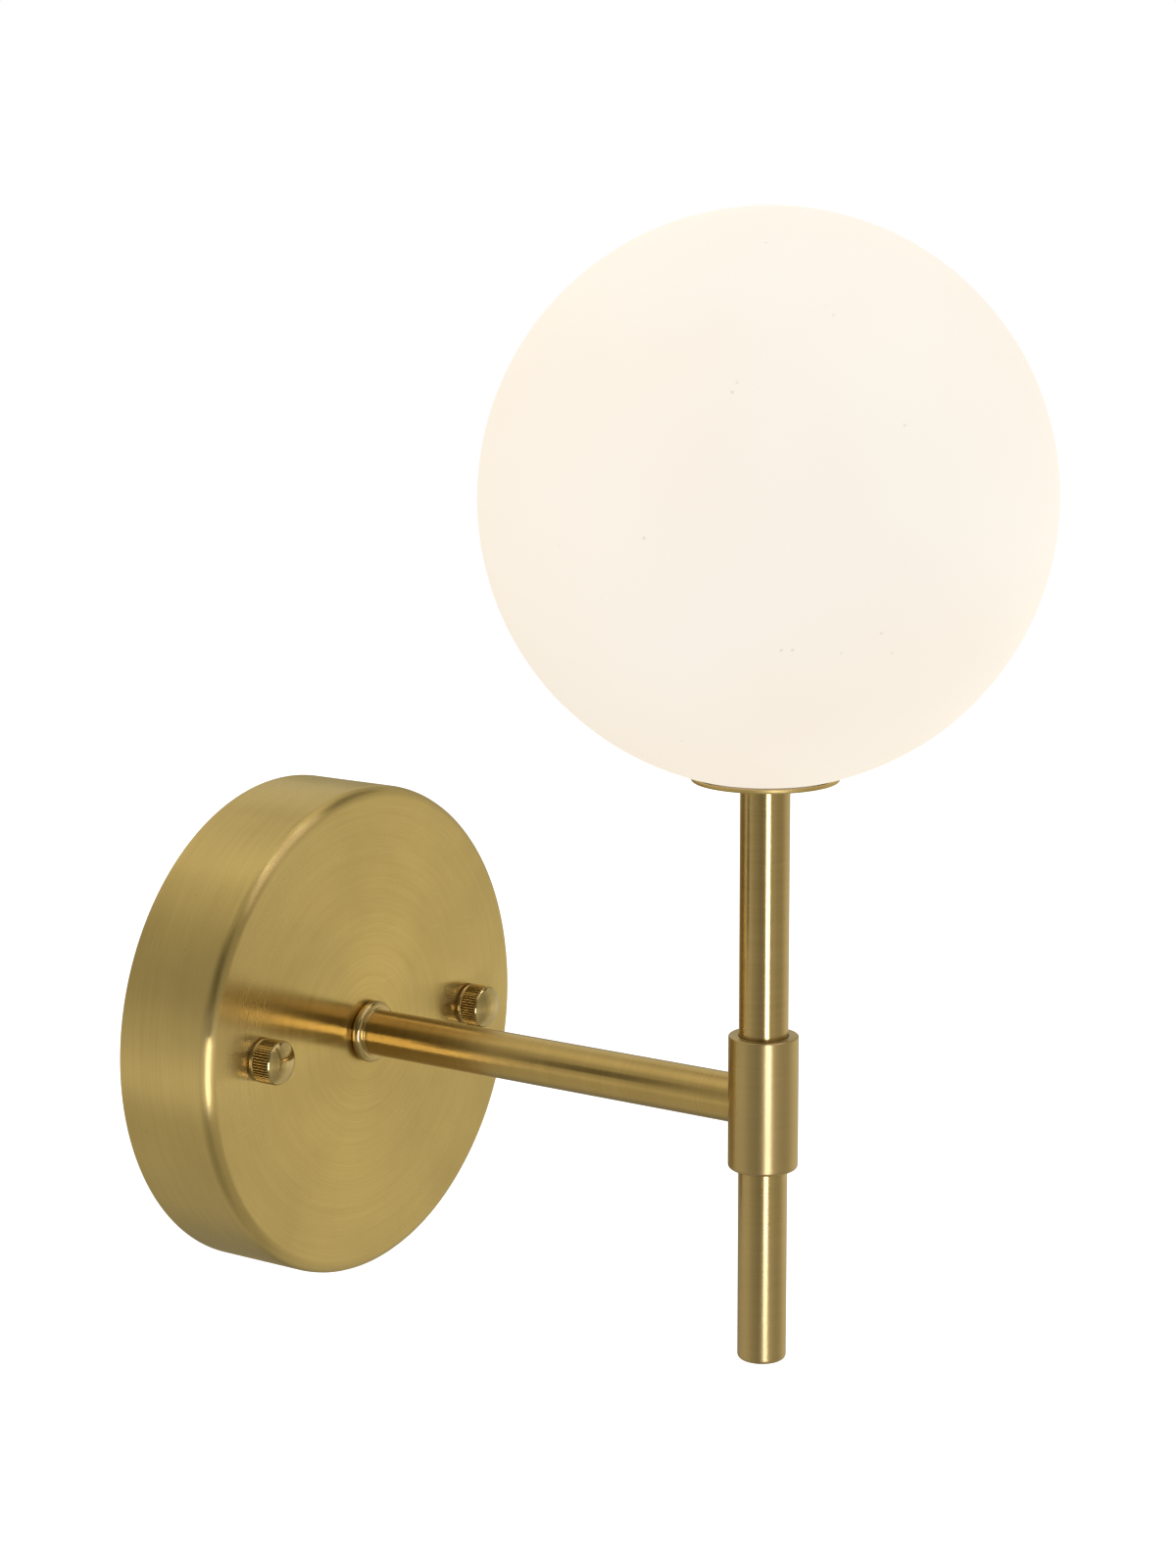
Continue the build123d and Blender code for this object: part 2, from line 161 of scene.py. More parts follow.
# a colour mix has its factor and two colours at inputs 0, 6 and 7, and its colour at output 2
def blend(tree, factor, first, second):
    inputs = {0: factor, 6: first, 7: second}
    return addNode(tree, "ShaderNodeMix", inputs, data_type="RGBA").outputs[2]


def noise(tree, vector, scale, detail=2.0, rough=0.5):
    inputs = {"Vector": vector, "Scale": scale, "Detail": detail, "Roughness": rough}
    return addNode(tree, "ShaderNodeTexNoise", inputs).outputs["Fac"]


def patches(tree, vector, scale, span):
    return spread(tree, noise(tree, vector, scale, 1.0), *span)


# small round spots, kept only in some patches
def spots(tree, vector, spot):
    inputs = {"Vector": vector, "Scale": spot["scale"]}
    dots = addNode(tree, "ShaderNodeTexVoronoi", inputs, feature="F1").outputs["Distance"]
    few = patches(tree, vector, spot["patch"], spot["patchSpan"])
    return maths(tree, "MULTIPLY", spread(tree, dots, *spot["size"]), few)


def bumped(tree, height, strength, depth):
    inputs = {"Strength": strength, "Distance": depth, "Height": height}
    return addNode(tree, "ShaderNodeBump", inputs).outputs[0]


def newGroup(name, inputs, outputs):
    group = bpy.data.node_groups.new(name, "ShaderNodeTree")
    for label, value in inputs.items():
        kind = "NodeSocketVector" if value is None else "NodeSocketFloat"
        socket = group.interface.new_socket(name=label, in_out="INPUT", socket_type=kind)
        if value is not None:
            socket.default_value = value
    for label in outputs:
        group.interface.new_socket(name=label, in_out="OUTPUT", socket_type="NodeSocketFloat")
    return group, group.nodes.new("NodeGroupInput"), group.nodes.new("NodeGroupOutput")


# lathe brushing: fine lines that run round the local Z axis, and broader rings of the same grain
# each layer has a share of the lines' scale and its own detail
brushing = dict(lines=3000.0, drift=60.0, rough=0.6, layers=(("Lines", 1.0, 2.0), ("Rings", 0.16, 3.0)))


def makeBrushGroup():
    inputs = {"Vector": None, "Lines": brushing["lines"], "Drift": brushing["drift"]}
    outputs = [label for label, _, _ in brushing["layers"]]
    group, entry, leave = newGroup("latheBrushing", inputs, outputs)
    vector = entry.outputs["Vector"]
    x, y, z = addNode(group, "ShaderNodeSeparateXYZ", {0: vector}).outputs
    flat = addNode(group, "ShaderNodeCombineXYZ", {0: x, 1: y}).outputs[0]
    radius = addNode(group, "ShaderNodeVectorMath", {0: flat}, operation="LENGTH").outputs["Value"]
    drift = scaled(group, vector, entry.outputs["Drift"])
    for label, share, detail in brushing["layers"]:
        step = maths(group, "MULTIPLY", entry.outputs["Lines"], share)
        places = {0: maths(group, "MULTIPLY", radius, step), 1: maths(group, "MULTIPLY", z, step)}
        across = addNode(group, "ShaderNodeCombineXYZ", places).outputs[0]
        path = addNode(group, "ShaderNodeVectorMath", {0: across, 1: drift}, operation="ADD").outputs[0]
        group.links.new(noise(group, path, 1.0, detail, brushing["rough"]), leave.inputs[label])
    return group


# handling marks: cloudy smudges, sparse hairline scratches and small specks
handling = dict(
    smudge=(32.0, 3.0, 0.55), smudgeSpan=(0.38, 0.68),
    hairTurn=(0.5, 0.9, 0.3), hairStretch=(40.0, 1500.0, 900.0), hairSpan=(0.74, 0.79),
    hairPatch=140.0, hairPatchSpan=(0.55, 0.62),
    specks=dict(scale=260.0, size=(0.11, 0.06), patch=95.0, patchSpan=(0.6, 0.63)),
)


def makeHandlingGroup():
    s = handling
    inputs, outputs = {"Vector": None, "Size": 1.0}, ("Smudge", "Scratch", "Speck")
    group, entry, leave = newGroup("handlingMarks", inputs, outputs)
    place = scaled(group, entry.outputs["Vector"], entry.outputs["Size"])
    smudge = spread(group, noise(group, place, *s["smudge"]), *s["smudgeSpan"])
    stretch = {"Vector": place, "Rotation": s["hairTurn"], "Scale": s["hairStretch"]}
    hair = addNode(group, "ShaderNodeMapping", stretch).outputs[0]
    lines = spread(group, noise(group, hair, 1.0, 0.0), *s["hairSpan"])
    scratch = maths(group, "MULTIPLY", lines, patches(group, place, s["hairPatch"], s["hairPatchSpan"]))
    feed(group, leave, Smudge=smudge, Scratch=scratch, Speck=spots(group, place, s["specks"]))
    return group


brushGroup = makeBrushGroup()
handlingGroup = makeHandlingGroup()


def newMaterial(name, **plain):
    material = bpy.data.materials.new(name)
    material.use_nodes = True
    tree = material.node_tree
    shader = tree.nodes["Principled BSDF"]
    for key, value in plain.items():
        shader.inputs[key.replace("_", " ")].default_value = value
    return material, tree, shader


def objectPlace(tree):
    return tree.nodes.new("ShaderNodeTexCoord").outputs["Object"]


# object coordinates, moved so that the piece's own line is the local Z axis
def alongLine(tree, line):
    spot = line["centre"]
    inputs = {"Vector": objectPlace(tree), "Location": (-spot.x, -spot.y, 0)}
    if not isUpright(line):
        inputs.update({"Location": (-spot.x, spot.z, 0), "Rotation": (pi / 2, 0, 0)})
    return addNode(tree, "ShaderNodeMapping", inputs).outputs[0]


# brass: a lathe-brushed or polished finish under clear lacquer, with worn edges, handling marks and painted
# shade darkening the knurl grooves
brassMix = dict(
    fineLines=0.55, broadRings=0.45, grooveShadeShare=0.8, roughSpan=(0.3, 0.7), smudgeRough=0.04,
    edgeRough=0.65, scratchHeight=-0.2, bumpDepth=0.00004, coatRough=0.14, pullTurn=0.25,
)
satin = dict(
    dark=(0.535, 0.395, 0.156, 1), light=(0.625, 0.474, 0.203, 1), worn=(0.7, 0.56, 0.29, 1),
    tarnished=(0.42, 0.3, 0.13, 1), grooveShade=(0.1, 0.06, 0.03, 1), grain=(0.38, 0.62), lines=2600.0,
    drift=45.0, marks=1.0, pull=0.95, rough=0.17, roughSwing=0.025, bump=0.05, tarnish=0.25,
    edgeWear=0.3, scratch=0.3, speck=0.45, lacquer=0.12,
)
tube = dict(
    satin, dark=(0.435, 0.319, 0.152, 1), light=(0.49, 0.367, 0.185, 1), worn=(0.58, 0.46, 0.26, 1),
    tarnished=(0.35, 0.25, 0.11, 1), grain=(0.3, 0.7), drift=60.0, pull=0.6, rough=0.215,
    roughSwing=0.02, bump=0.035, tarnish=0.15, lacquer=0.25,
)
# the arm: the tube finish in lighter tones, a lit copy painted for the brighter light on the arm
armLitTube = dict(tube, dark=(0.51, 0.365, 0.15, 1), light=(0.575, 0.42, 0.182, 1))
polished = dict(
    satin, dark=(0.5, 0.375, 0.18, 1), light=(0.58, 0.45, 0.225, 1), worn=(0.66, 0.52, 0.29, 1),
    tarnished=(0.34, 0.23, 0.09, 1), grain=(0.3, 0.7), lines=4200.0, marks=2.0, pull=0.2, rough=0.1,
    roughSwing=0.03, bump=0.04, lacquer=0.2,
)
softSatin = dict(satin, rough=0.3, pull=0.4)
asTurned = dict(polished, rough=0.22, lines=2200.0, bump=0.2)


def makeBrass(name, line, finish):
    mix = brassMix
    material, tree, shader = newMaterial(
        name, Metallic=1.0, Anisotropic=finish["pull"], Anisotropic_Rotation=mix["pullTurn"],
        Coat_Weight=finish["lacquer"], Coat_Roughness=mix["coatRough"],
    )
    vector = alongLine(tree, line)
    brush = useGroup(tree, brushGroup, Vector=vector, Lines=finish["lines"], Drift=finish["drift"])
    marks = useGroup(tree, handlingGroup, Vector=vector, Size=finish["marks"])
    edge = addNode(tree, "ShaderNodeAttribute", attribute_name="edge").outputs["Fac"]
    groove = addNode(tree, "ShaderNodeAttribute", attribute_name="groove").outputs["Fac"]
    fine = maths(tree, "MULTIPLY", brush["Lines"], mix["fineLines"])
    grain = maths(tree, "MULTIPLY_ADD", brush["Rings"], mix["broadRings"], fine)
    colour = blend(tree, spread(tree, grain, *finish["grain"]), finish["dark"], finish["light"])
    layers = (
        (marks["Smudge"], finish["tarnish"], finish["tarnished"]),
        (edge, finish["edgeWear"], finish["worn"]),
        (marks["Scratch"], finish["scratch"], finish["worn"]),
        (marks["Speck"], finish["speck"], finish["tarnished"]),
        # painted shade: the knurl grooves are drawn darker, towards near black
        (groove, mix["grooveShadeShare"], finish["grooveShade"]),
    )
    for mask, share, tone in layers:
        colour = blend(tree, maths(tree, "MULTIPLY", mask, share), colour, tone)
    low, high = finish["rough"] - finish["roughSwing"], finish["rough"] + finish["roughSwing"]
    rough = spread(tree, grain, *mix["roughSpan"], low, high)
    rough = maths(tree, "MULTIPLY_ADD", marks["Smudge"], mix["smudgeRough"], rough)
    rough = maths(tree, "MULTIPLY_ADD", edge, mix["edgeRough"] * finish["rough"], rough)
    height = maths(tree, "MULTIPLY_ADD", marks["Scratch"], mix["scratchHeight"], brush["Lines"])
    normal = bumped(tree, height, finish["bump"], mix["bumpDepth"])
    axis = "Z" if isUpright(line) else "Y"
    tangent = addNode(tree, "ShaderNodeTangent", direction_type="RADIAL", axis=axis).outputs[0]
    feed(tree, shader, Base_Color=colour, Roughness=rough, Normal=normal, Tangent=tangent)
    return material


canopyBrass = makeBrass("canopyBrass", armLine, satin)
armBrass = makeBrass("armBrass", armLine, armLitTube)
stemBrass = makeBrass("stemBrass", stemLine, tube)
ringBrass = makeBrass("ringBrass", armLine, polished)
dishBrass = makeBrass("dishBrass", stemLine, softSatin)
nutBrass = {node: makeBrass(node + "Brass", nutLine(node), polished) for node in nutNodes}
print("brass finishes made")


# opal glass: lit from inside, with painted shade making the glow warmer and dimmer low down and towards the
# camera's left, and small seeds in the glass
opal = dict(
    clear=(1.0, 0.94, 0.84, 1), warm=(0.99, 0.86, 0.71, 1), glow=0.725, shine=0.1,
    skin=(0.37, 0.35, 0.32, 1), shade=(0.33, 0.3, 0.265, 1),
    # low and side: where the painted shade on the glow starts and ends, low down and towards the camera's
    # left
    low=(0.16, 0.09, 0.0, 0.5), side=(0.0, 0.075, 0.0, 0.55), sideWay=(-0.55, -0.83),
    cloudScale=17.0, cloud=(0.35, 0.7, 0.0, 0.25), roughScale=240.0, rough=(0.3, 0.7, 0.5, 0.62),
    seeds=dict(scale=150.0, size=(0.085, 0.05), patch=60.0, patchSpan=(0.62, 0.66)),
    seed=(0.5, 0.42, 0.33, 1), seedShare=0.4, seedHeight=0.08, waveScale=30.0, bump=0.08, bumpDepth=0.0006,
)


def makeOpal():
    s = opal
    material, tree, shader = newMaterial(
        "opalGlass", Specular_IOR_Level=s["shine"], Emission_Strength=s["glow"],
    )
    vector = alongLine(tree, stemLine)
    x, y, z = addNode(tree, "ShaderNodeSeparateXYZ", {0: vector}).outputs
    sideways = [maths(tree, "MULTIPLY", place, share) for place, share in zip((x, y), s["sideWay"])]
    # painted shade on the glow: low down, and on the side towards the camera's left; cloud is random tone
    lowShade = spread(tree, z, *s["low"])
    leftShade = spread(tree, maths(tree, "SUBTRACT", *sideways), *s["side"])
    cloud = spread(tree, noise(tree, vector, s["cloudScale"]), *s["cloud"])
    shadeAndCloud = maths(tree, "ADD", maths(tree, "MAXIMUM", lowShade, leftShade), cloud)
    seeds = spots(tree, vector, s["seeds"])
    glow = blend(tree, shadeAndCloud, s["clear"], s["warm"])
    glow = blend(tree, maths(tree, "MULTIPLY", seeds, s["seedShare"]), glow, s["seed"])
    colour = blend(tree, cloud, s["skin"], s["shade"])
    rough = spread(tree, noise(tree, vector, s["roughScale"]), *s["rough"])
    raised = maths(tree, "MULTIPLY", seeds, s["seedHeight"])
    waves = maths(tree, "ADD", noise(tree, vector, s["waveScale"], 1.0), raised)
    normal = bumped(tree, waves, s["bump"], s["bumpDepth"])
    feed(tree, shader, Emission_Color=glow, Base_Color=colour, Roughness=rough, Normal=normal)
    return material


opalGlass = makeOpal()


# plain finishes of the hidden and rear pieces: two tones, a grain and a bump each
plainMix = dict(
    marks=1.6, detail=3.0, detailRough=0.6, toneSpan=(0.32, 0.68), smudge=0.25, smudgeTone=0.72,
    roughSpan=(0.3, 0.7), roughSwing=0.06, scratchRough=0.12, scratchHeight=0.5, bumpDepth=0.00006,
)
plainFinishes = dict(
    zinc_steel=dict(
        name="zincSteel", first=(0.42, 0.43, 0.44, 1), second=(0.56, 0.57, 0.56, 1),
        metallic=1.0, rough=0.36, grain=420.0, bump=0.2,
    ),
    cast_aluminium=dict(
        name="castAluminium", first=(0.5, 0.5, 0.51, 1), second=(0.62, 0.62, 0.63, 1),
        metallic=1.0, rough=0.42, grain=900.0, bump=0.35,
    ),
    nylon=dict(
        name="nylon", first=(0.76, 0.75, 0.7, 1), second=(0.82, 0.81, 0.77, 1),
        metallic=0.0, rough=0.45, grain=700.0, bump=0.15,
    ),
    clear_nylon=dict(
        name="clearNylon", first=(0.42, 0.34, 0.19, 1), second=(0.5, 0.41, 0.24, 1),
        metallic=0.0, rough=0.35, grain=700.0, bump=0.15,
    ),
    ceramic=dict(
        name="glazedCeramic", first=(0.8, 0.79, 0.75, 1), second=(0.87, 0.86, 0.83, 1),
        metallic=0.0, rough=0.2, grain=300.0, bump=0.1, Coat_Weight=0.5, Coat_Roughness=0.08,
    ),
    silicone=dict(
        name="silicone", first=(0.6, 0.6, 0.58, 1), second=(0.68, 0.68, 0.66, 1),
        metallic=0.0, rough=0.55, grain=800.0, bump=0.2,
    ),
    frosted_bulb=dict(
        name="frostedBulb", first=(0.86, 0.84, 0.8, 1), second=(0.92, 0.9, 0.86, 1),
        metallic=0.0, rough=0.4, grain=500.0, bump=0.1,
        Emission_Color=(1, 0.82, 0.6, 1), Emission_Strength=0.4,
    ),
    brown_insulation=dict(
        name="brownSleeve", first=(0.09, 0.035, 0.015, 1), second=(0.13, 0.05, 0.022, 1),
        metallic=0.0, rough=0.38, grain=600.0, bump=0.15,
    ),
    blue_insulation=dict(
        name="blueSleeve", first=(0.02, 0.06, 0.3, 1), second=(0.03, 0.09, 0.38, 1),
        metallic=0.0, rough=0.38, grain=600.0, bump=0.15,
    ),
    earth_insulation=dict(
        name="earthSleeve", first=(0.05, 0.28, 0.06, 1), second=(0.5, 0.5, 0.04, 1),
        metallic=0.0, rough=0.38, grain=120.0, bump=0.15,
    ),
)


def makePlain(name, first, second, metallic, rough, grain, bump, **plain):
    mix = plainMix
    material, tree, shader = newMaterial(name, Metallic=metallic, **plain)
    vector = objectPlace(tree)
    marks = useGroup(tree, handlingGroup, Vector=vector, Size=mix["marks"])
    speckle = noise(tree, vector, grain, mix["detail"], mix["detailRough"])
    colour = blend(tree, spread(tree, speckle, *mix["toneSpan"]), first, second)
    smudged = [part * mix["smudgeTone"] for part in first[:3]] + [1]
    colour = blend(tree, maths(tree, "MULTIPLY", marks["Smudge"], mix["smudge"]), colour, smudged)
    low, high = rough - mix["roughSwing"], rough + mix["roughSwing"]
    dulled = maths(tree, "MULTIPLY", marks["Scratch"], mix["scratchRough"])
    sheen = maths(tree, "ADD", spread(tree, speckle, *mix["roughSpan"], low, high), dulled)
    cut = maths(tree, "MULTIPLY", marks["Scratch"], mix["scratchHeight"])
    normal = bumped(tree, maths(tree, "SUBTRACT", speckle, cut), bump, mix["bumpDepth"])
    feed(tree, shader, Base_Color=colour, Roughness=sheen, Normal=normal)
    return material


# finishes by slot, with the turned brass slot's finish made as brass
finishes = {slot: makePlain(**finish) for slot, finish in plainFinishes.items()}
finishes["turned_brass"] = makeBrass("turnedBrass", armLine, asTurned)
print("glass and plain finishes made")


# mesh helpers
turnSteps = 192
roundSteps = 6
mergeGap = 1e-7
outFromWall = Matrix.Rotation(pi / 2, 4, "X")


def startMesh():
    bm = bmesh.new()
    bm.verts.layers.float.new("edge")
    return bm


def placeMesh(bm, name):
    mesh = bpy.data.meshes.new(name)
    bm.to_mesh(mesh)
    bm.free()
    piece = bpy.data.objects.new(name, mesh)
    scene.collection.objects.link(piece)
    return piece


def onLine(line, radius, height):
    return line["centre"] + Vector((radius * mm, 0, 0)) + line["up"] * height * mm


def seal(bm, gap=mergeGap):
    bmesh.ops.remove_doubles(bm, verts=bm.verts, dist=gap)
    bmesh.ops.recalc_face_normals(bm, faces=bm.faces)


def roundCorner(bm, vert, rounding):
    return bmesh.ops.bevel(
        bm, geom=[vert], affect="VERTICES", offset=rounding * mm, offset_type="OFFSET",
        segments=roundSteps, profile=0.5, material=-1,
    )["verts"]


def spinWire(bm, line, wire, steps):
    strands = list({strand for vert in wire for strand in vert.link_edges})
    bmesh.ops.spin(
        bm, geom=wire + strands, cent=line["centre"], axis=line["up"], angle=2 * pi, steps=steps,
        use_merge=True,
    )
    seal(bm)


# an outline of (radius, height, rounding) in mm, turned about a line
# one that starts on the line, at radius 0, also ends there and stays open
def turned(bm, line, corners, steps=turnSteps):
    edge = bm.verts.layers.float["edge"]
    before = set(bm.verts)
    outline = [bm.verts.new(onLine(line, radius, height)) for radius, height, _ in corners]
    loop = outline + outline[:1] if corners[0][0] else outline
    for pair in zip(loop, loop[1:]):
        bm.edges.new(pair)
    for vert, (_, _, rounding) in zip(outline, corners):
        if rounding:
            for made in roundCorner(bm, vert, rounding):
                made[edge] = 1.0
    spinWire(bm, line, [vert for vert in bm.verts if vert not in before], steps)


# the outline of a plain tube, with roundings for its outer low, outer high, inner high and inner low corner
def tubeOutline(outer, inner, low, high, roundings=(0, 0, 0, 0)):
    corners = ((outer, low), (outer, high), (inner, high), (inner, low))
    return [(*corner, rounding) for corner, rounding in zip(corners, roundings)]


# a thread's tooth: its foot is sunk in the core, and its places are shares of the pitch
tooth = dict(sink=0.05, start=0.1, crestFrom=0.38, crestTo=0.52, end=0.8, runOut=0.9)


# one tooth section swept up a helix on a turned core
def threaded(bm, line, low, high, thread):
    t, pitch, steps = tooth, thread["pitch"], thread["threadSteps"]
    foot, crest = thread["root"] - t["sink"], thread["crest"]
    turns = int((high - low) / pitch - t["runOut"])
    section = ((foot, t["start"]), (crest, t["crestFrom"]), (crest, t["crestTo"]), (foot, t["end"]))
    wire = [bm.verts.new(onLine(line, radius, low + share * pitch)) for radius, share in section]
    strands = [bm.edges.new(pair) for pair in zip(wire, wire[1:] + wire[:1])]
    bmesh.ops.spin(
        bm, geom=wire + strands, cent=line["centre"], axis=line["up"], angle=2 * pi * turns,
        steps=steps * turns, dvec=line["up"] * (pitch * mm / steps),
    )
    bmesh.ops.holes_fill(bm, edges=[strand for strand in bm.edges if strand.is_boundary], sides=0)
    bmesh.ops.recalc_face_normals(bm, faces=bm.faces)


# a modifier is set, worked into the mesh and taken off again
def settle(piece, modifier, **settings):
    for key, value in settings.items():
        setattr(modifier, key, value)
    depsgraph = bpy.context.evaluated_depsgraph_get()
    old = piece.data
    piece.data = bpy.data.meshes.new_from_object(
        piece.evaluated_get(depsgraph), preserve_all_data_layers=True, depsgraph=depsgraph,
    )
    piece.modifiers.clear()
    piece.data.name = piece.name
    bpy.data.meshes.remove(old)


# the new piece stands for one solid: it takes the solid's body, and the solid is hidden
def finishPiece(bm, name, material, node, sharp=35):
    piece = placeMesh(bm, name)
    piece.data.materials.append(material)
    piece.data.shade_smooth()
    piece.data.set_sharp_from_angle(angle=radians(sharp))
    settle(piece, piece.modifiers.new("even", "WEIGHTED_NORMAL"), keep_sharp=True)
    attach(piece, bodyOf[node])
    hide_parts(node)
    return piece


# canopy: a spun cup with a rolled front edge and holes for the studs
canopyShape = dict(
    radius=70.0, depth=31.5, wall=1.2, edge=3.5, backEdge=0.25, hole=4.95, steps=256,
    studHole=2.25, studHoleDepth=10.0, studHoleSteps=48,
)


def makeCanopy():
    s = canopyShape
    inside, floor = s["radius"] - s["wall"], s["depth"] - s["wall"]
    bm = startMesh()
    turned(bm, armLine, [
        (s["radius"], 0, s["backEdge"]), (s["radius"], s["depth"], s["edge"]), (s["hole"], s["depth"], 0),
        (s["hole"], floor, 0), (inside, floor, s["edge"] - s["wall"]), (inside, 0, s["backEdge"]),
    ], s["steps"])
    piece = finishPiece(bm, "spun_canopy", canopyBrass, "canopy", sharp=40)
    cutter = bmesh.new()
    for node in nutNodes:
        bmesh.ops.create_cone(
            cutter, cap_ends=True, segments=s["studHoleSteps"], radius1=s["studHole"] * mm,
            radius2=s["studHole"] * mm, depth=s["studHoleDepth"] * mm,
            matrix=Matrix.Translation(onLine(nutLine(node), 0, s["depth"])) @ outFromWall,
        )
    tool = placeMesh(cutter, "studHoles")
    holes = piece.modifiers.new("holes", "BOOLEAN")
    settle(piece, holes, operation="DIFFERENCE", object=tool, solver="EXACT")
    mesh = tool.data
    bpy.data.objects.remove(tool)
    bpy.data.meshes.remove(mesh)


makeCanopy()
print("canopy made")


# cap nuts: plain foot, straight knurl and a polished dome that the ridges run out into
# ridge is how deep the knurl is at even steps across one ridge
nutShape = dict(
    crest=6.15, depth=0.35, foot=0.9, fade=0.12, knurls=48, crestWearAndSheen=0.6, bore=2.25, boreDepth=6.1,
    chamfer=0.18, girth=6.18, barrel=6.2, rise=2.2, shoulder=1.6, shoulderSteps=26, capSteps=14,
    ridge=(0.0, 0.1, 0.42, 0.82, 1.0, 0.82, 0.42, 0.1),
)


# heights and radii of the dome: a rounded shoulder that flows into a shallow cap
def domeStations():
    s = nutShape
    ball = (s["girth"] ** 2 + s["rise"] ** 2) / (2 * s["rise"])
    heart = s["barrel"] + s["rise"] - ball
    inset = s["girth"] - s["shoulder"]
    join = asin(inset / (ball - s["shoulder"]))
    centre = heart + sqrt((ball - s["shoulder"]) ** 2 - inset ** 2)
    for k in range(s["shoulderSteps"]):
        lean = pi / 2 + (join - pi / 2) * k / s["shoulderSteps"]
        yield centre + s["shoulder"] * cos(lean), inset + s["shoulder"] * sin(lean)
    for k in range(s["capSteps"]):
        lean = join * (1 - k / s["capSteps"])
        yield heart + ball * cos(lean), ball * sin(lean)


# height, largest radius and share of the knurl, from the seat to the top
def nutStations():
    s = nutShape
    yield 0.0, s["crest"] - s["chamfer"], 0.0
    yield s["chamfer"], s["crest"], 0.0
    yield s["foot"] - s["fade"], s["crest"], 0.0
    yield s["foot"], s["crest"] - s["fade"], 0.0
    yield s["foot"] + s["fade"], s["crest"], 1.0
    for height, limit in domeStations():
        yield height, limit, 1.0


# the ring's edges are drawn out once and the new ring comes back in the same order
def drawOut(bm, ring):
    known = set(ring)
    strands = [strand for strand in bm.edges if strand.verts[0] in known and strand.verts[1] in known]
    made = bmesh.ops.extrude_edge_only(bm, edges=strands)["geom"]
    fresh = {item for item in made if isinstance(item, bmesh.types.BMVert)}
    return [next(s.other_vert(v) for s in v.link_edges if s.other_vert(v) in fresh) for v in ring]


def makeCapNut(node):
    s, ridge = nutShape, nutShape["ridge"]
    line = nutLine(node)
    spot, seat = line["centre"], reaches(node)[0]
    aboutLine = Matrix.Translation(-spot)
    bm = startMesh()
    edge, groove = bm.verts.layers.float["edge"], bm.verts.layers.float.new("groove")
    mouth = bmesh.ops.create_circle(
        bm, radius=s["crest"] * mm, segments=s["knurls"] * len(ridge),
        matrix=Matrix.Translation(onLine(line, 0, seat)) @ outFromWall,
    )["verts"]
    mouth.sort(key=lambda vert: atan2(vert.co.z - spot.z, vert.co.x - spot.x))
    ring, last = mouth, 0.0
    radii = [s["crest"]] * len(ridge)
    for height, limit, knurl in nutStations():
        if height > last:
            ring = drawOut(bm, ring)
            bmesh.ops.translate(bm, verts=ring, vec=line["up"] * (height - last) * mm)
            last = height
        for g, deep in enumerate(ridge):
            wanted = min(s["crest"] - s["depth"] * deep * knurl, limit)
            share = wanted / radii[g]
            bmesh.ops.scale(bm, verts=ring[g::len(ridge)], vec=(share, 1, share), space=aboutLine)
            radii[g] = wanted
            for vert in ring[g::len(ridge)]:
                # knurl crests drawn lighter: partly worn brass, partly a painted highlight along the ridges
                vert[edge] = s["crestWearAndSheen"] * (1 - deep) * knurl
                # painted shade: the deeper down a knurl groove, the darker it is drawn
                vert[groove] = deep * knurl if wanted < limit else 0.0
    bmesh.ops.pointmerge(bm, verts=ring, merge_co=onLine(line, 0, seat + s["barrel"] + s["rise"]))
    bore = drawOut(bm, mouth)
    share = s["bore"] / (s["crest"] - s["chamfer"])
    bmesh.ops.scale(bm, verts=bore, vec=(share, 1, share), space=aboutLine)
    bore = drawOut(bm, bore)
    bmesh.ops.translate(bm, verts=bore, vec=line["up"] * s["boreDepth"] * mm)
    bmesh.ops.pointmerge(bm, verts=drawOut(bm, bore), merge_co=onLine(line, 0, seat + s["boreDepth"]))
    bmesh.ops.recalc_face_normals(bm, faces=bm.faces)
    finishPiece(bm, "knurled_" + node, nutBrass[node], node, sharp=55)


# thin washers under the nuts
washerShape = dict(outer=5.4, inner=2.25, thick=0.5, roundings=(0.1, 0.1, 0, 0), steps=96)


def makeWasher(node):
    s = washerShape
    near = reaches(node)[0]
    outline = tubeOutline(s["outer"], s["inner"], near, near + s["thick"], s["roundings"])
    bm = startMesh()
    turned(bm, nutLine(node), outline, s["steps"])
    finishPiece(bm, "thin_" + node, finishes["clear_nylon"], node)


for node in nutNodes:
    makeCapNut(node)
for node in ("nut_washer_left", "nut_washer_right"):
    makeWasher(node)
print("cap nuts made")


# tubes, and the collar that they meet in
tubeShape = dict(outer=6.5, inner=4.95, mouthRound=0.1, tailRound=1.2)
collarShape = dict(
    radius=9.25, topRound=0.4, bottomRound=1.0, footRound=0.15, groove=0.18, grooveDepth=0.5,
    grooveRound=0.06,
)
# the last part of the arm, this near the stem's line, takes the collar's shape
armShape = dict(saddle=1.0)


def makeArm():
    reach = -stemLine["centre"].y / mm
    bm = startMesh()
    turned(bm, armLine, tubeOutline(tubeShape["outer"], tubeShape["inner"], canopyShape["depth"], reach))
    for vert in bm.verts:
        if vert.co.y < -(reach - armShape["saddle"]) * mm:
            vert.co.y = -reach * mm + sqrt((collarShape["radius"] * mm) ** 2 - vert.co.x ** 2)
    finishPiece(bm, "straight_arm", armBrass, "arm_tube")


# base ring: a bead with a small lip round the arm
ringShape = dict(outer=8.8, depth=3.0, round=1.44, lip=0.5, lipRise=0.5, lipFootRound=0.12, lipRound=0.15)


